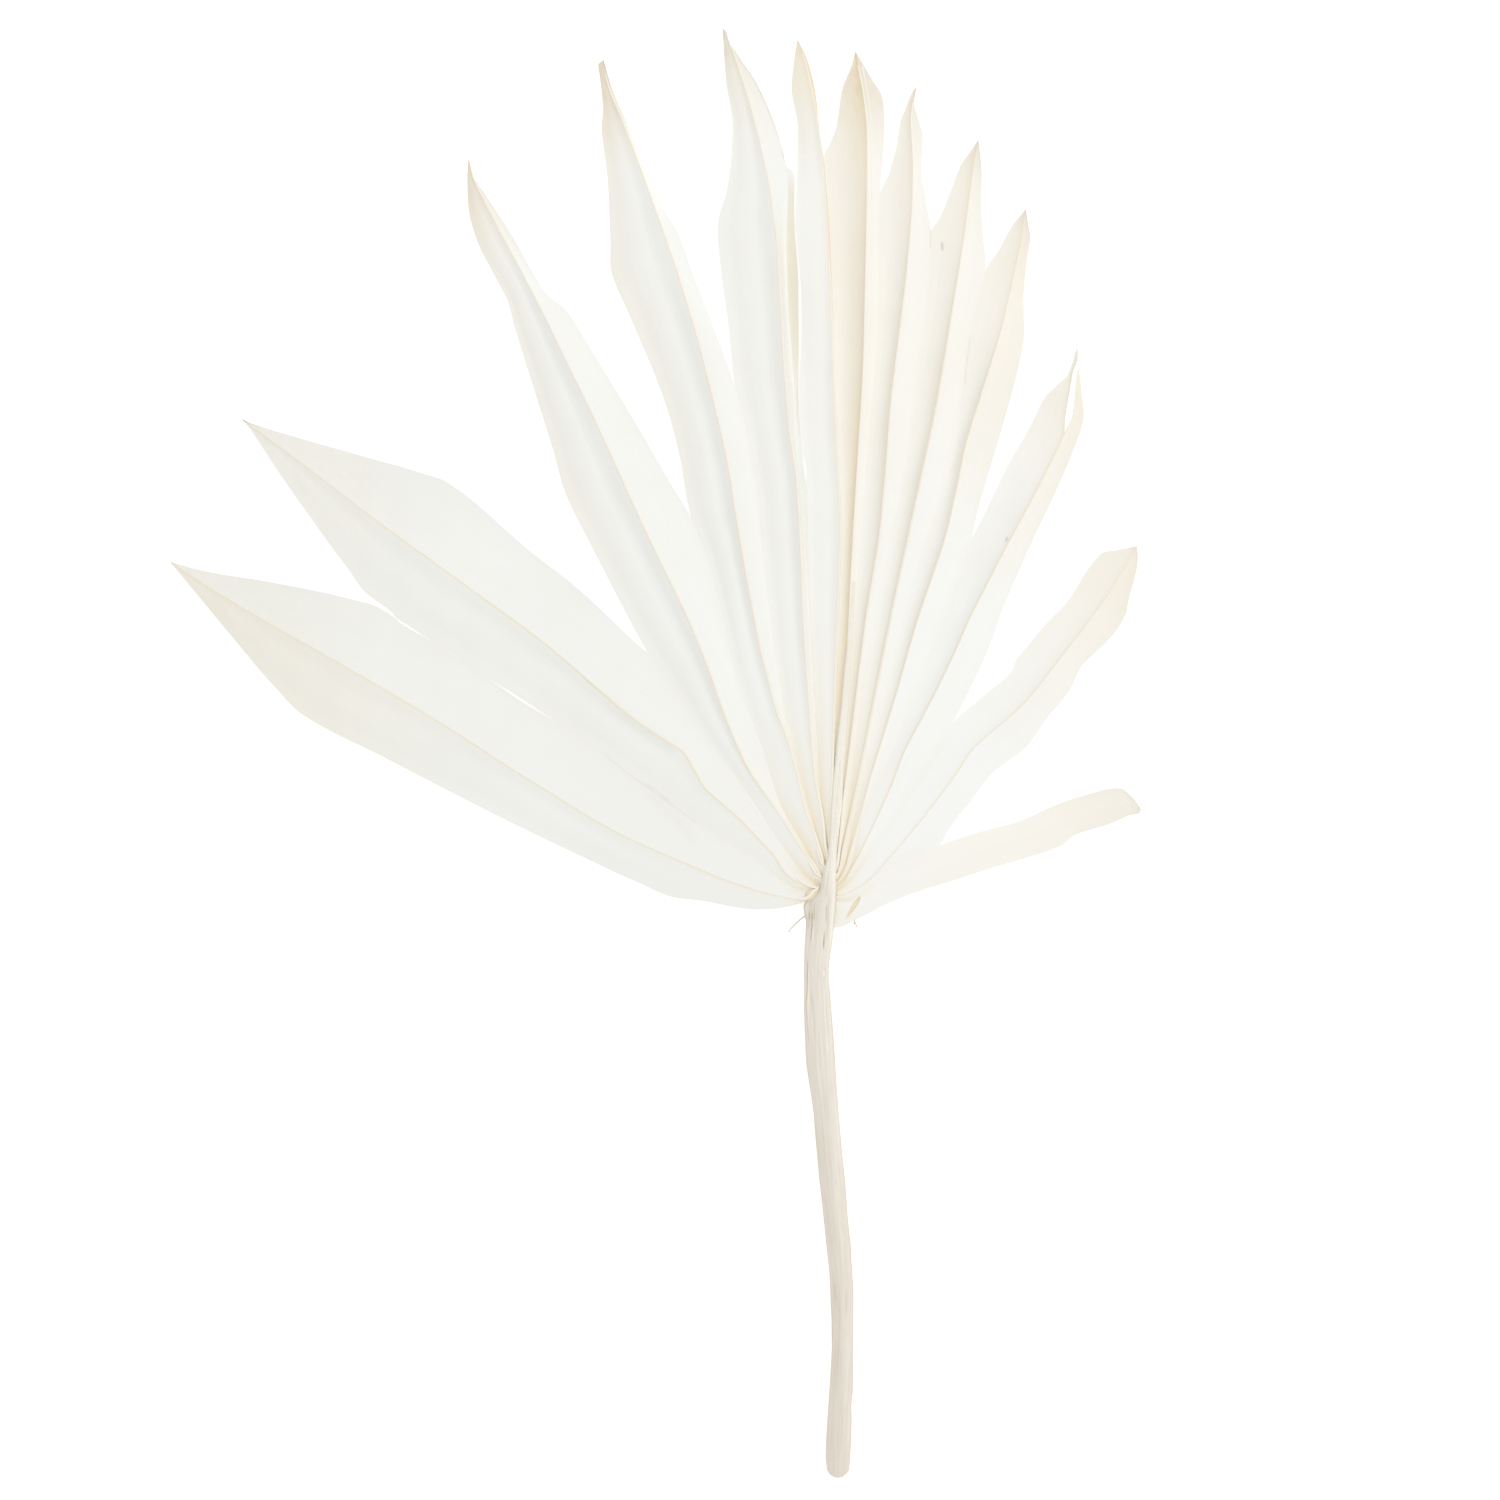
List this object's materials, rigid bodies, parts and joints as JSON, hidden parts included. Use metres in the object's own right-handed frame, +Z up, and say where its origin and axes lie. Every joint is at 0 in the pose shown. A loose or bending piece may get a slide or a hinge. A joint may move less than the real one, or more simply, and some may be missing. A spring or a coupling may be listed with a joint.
{
  "type": "fan palm leaf",
  "caption": "Dried, bleached fan palm leaf on its stalk, lying flat with its folded segments spread in a fan.",
  "frame": {"origin": "under the middle of the leaf's bounding box, on the surface that the leaf lies on", "axes": "+Z up from the surface, +Y along the leaf from the cut end of the stalk to the tips, +X to the right, seen from above with the stalk towards the viewer"},
  "size_m": [0.3108, 0.463, 0.01],
  "materials": {
    "leaflet": "matte",
    "stalk": "satin"
  },
  "bodies": {
    "root": {"stalk": "stalk", "leaflet_01": "leaflet", "leaflet_02": "leaflet", "leaflet_03": "leaflet", "leaflet_04": "leaflet", "leaflet_05": "leaflet", "leaflet_06": "leaflet", "leaflet_07": "leaflet", "leaflet_08": "leaflet", "leaflet_09": "leaflet", "leaflet_10": "leaflet", "leaflet_11": "leaflet", "leaflet_12": "leaflet", "leaflet_13": "leaflet"}
  },
  "joints": []
}
